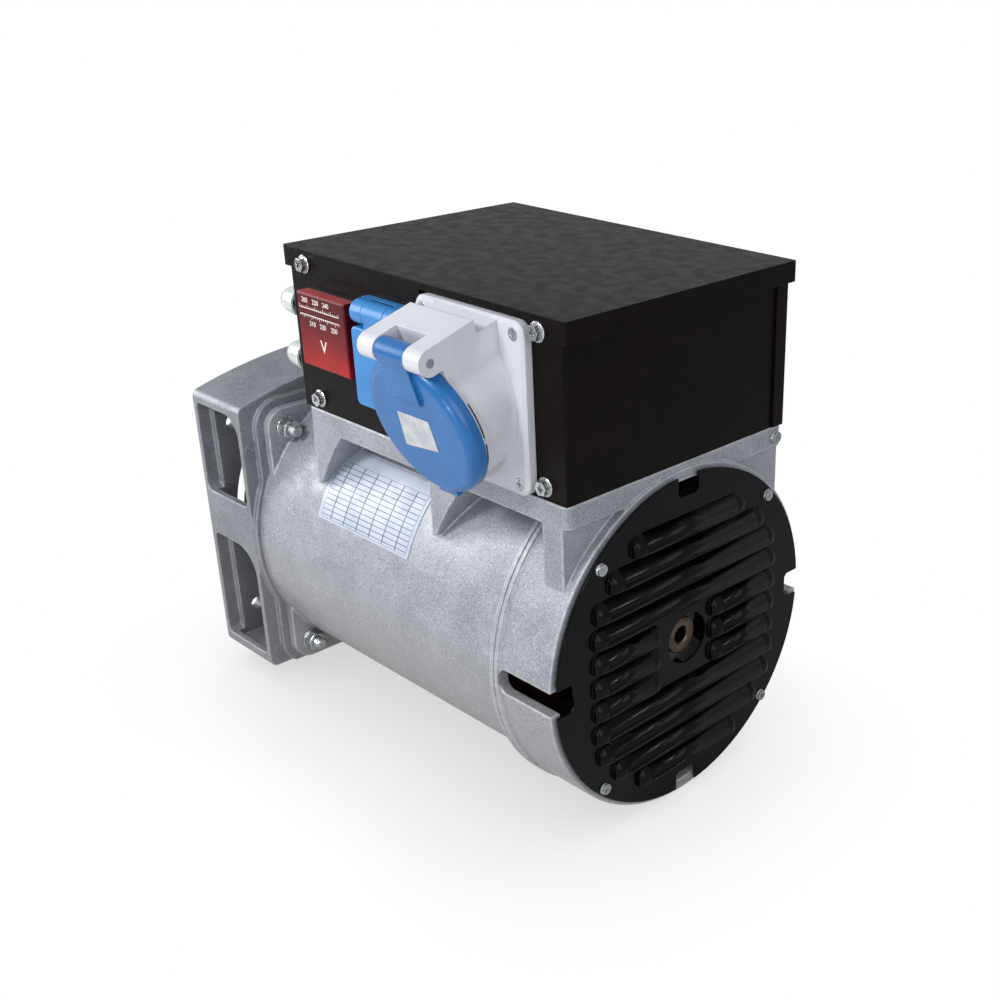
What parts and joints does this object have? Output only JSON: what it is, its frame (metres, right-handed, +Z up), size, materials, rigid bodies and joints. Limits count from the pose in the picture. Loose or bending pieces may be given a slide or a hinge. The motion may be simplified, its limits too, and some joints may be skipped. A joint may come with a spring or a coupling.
{
  "type": "generator alternator head",
  "caption": "Single-bearing alternator head for a generator set: cast housing with engine adaptor, louvred rear cover and a terminal box with sockets and voltmeter.",
  "frame": {"origin": "on the shaft axis in the engine flange face", "axes": "+X along the shaft from the engine flange to the rear cover, +Z up through the terminal box, -Y is the socket side"},
  "size_m": [0.381, 0.2669, 0.3354],
  "materials": {
    "cast_dark": "as-cast, darker grey",
    "cast_aluminium": "shot-blasted die casting",
    "cover_black": "gloss black",
    "box_black": "textured black powder coat",
    "zinc_steel": "bright zinc plate",
    "machined_steel": "machined",
    "lamination": "varnished laminations",
    "copper_winding": "varnished copper wire",
    "fan_black": "moulded",
    "diode_dark": "moulded",
    "meter_red": "deep red, slightly clear",
    "household_blue": "moulded light blue",
    "brass": "brass",
    "socket_white": "moulded light grey",
    "industrial_blue": "moulded blue",
    "seal_rubber": "soft black",
    "boot_clear": "milky clear rubber",
    "button_green": "moulded green",
    "capacitor_grey": "moulded can"
  },
  "bodies": {
    "stator": {"adaptor_nuts": "zinc_steel", "adaptor_studs": "zinc_steel", "adaptor_washers": "zinc_steel", "back_panel_screws": "zinc_steel", "bearing_balls": "machined_steel", "bearing_outer_race": "machined_steel", "box_back_panel": "box_black", "box_frame": "box_black", "box_front_panel": "box_black", "box_lid": "box_black", "bracket_screws": "zinc_steel", "breaker_bodies": "diode_dark", "breaker_boots": "boot_clear", "breaker_nuts": "zinc_steel", "earth_screw": "zinc_steel", "engine_adaptor": "cast_dark", "excitation_capacitor": "capacitor_grey", "front_panel_screws": "zinc_steel", "household_earth_clips": "brass", "household_hinge_pin": "zinc_steel", "household_socket_body": "household_blue", "industrial_contact_sleeves": "brass", "industrial_flange_screws": "zinc_steel", "industrial_hinge_pin": "zinc_steel", "industrial_socket_housing": "socket_white", "industrial_socket_insert": "socket_white", "main_housing": "cast_aluminium", "rear_bearing_bracket": "cast_aluminium", "rear_cover": "cover_black", "rear_cover_screws": "zinc_steel", "stator_core": "lamination", "stator_winding": "copper_winding", "terminal_board": "diode_dark", "terminal_studs": "brass", "voltmeter_case": "diode_dark", "voltmeter_window": "meter_red"},
    "rotor": {"rotor_shaft": "machined_steel", "rotor_core": "lamination", "rotor_winding": "copper_winding", "rotor_diodes": "diode_dark", "cooling_fan": "fan_black", "bearing_inner_race": "machined_steel"},
    "industrial_lid": {"industrial_lid": "industrial_blue", "industrial_lid_gasket": "seal_rubber"},
    "household_lid": {"household_socket_lid": "household_blue"},
    "upper_button": {"upper_breaker_button": "button_green"},
    "lower_button": {"lower_breaker_button": "button_green"}
  },
  "joints": [
    {"name": "rotor_spin", "type": "hinge", "parent": "stator", "child": "rotor", "pos_m": [0, 0, 0], "axis": [1, 0, 0], "continuous": true},
    {"name": "industrial_lid_hinge", "type": "hinge", "parent": "stator", "child": "industrial_lid", "pos_m": [0.3, -0.14501, 0.20034], "axis": [-1, 0, 0], "range_deg": [0, 110], "stiffness_Nm_per_rad": 0.12, "springref_deg": -34.38},
    {"name": "household_lid_hinge", "type": "hinge", "parent": "stator", "child": "household_lid", "pos_m": [0.2245, -0.1015, 0.1965], "axis": [-1, 0, 0], "range_deg": [0, 110], "stiffness_Nm_per_rad": 0.05, "springref_deg": -34.38},
    {"name": "upper_button_press", "type": "slide", "parent": "stator", "child": "upper_button", "axis": [1, 0, 0], "range_m": [0, 0.003], "stiffness_N_per_m": 400},
    {"name": "lower_button_press", "type": "slide", "parent": "stator", "child": "lower_button", "axis": [1, 0, 0], "range_m": [0, 0.003], "stiffness_N_per_m": 400}
  ]
}
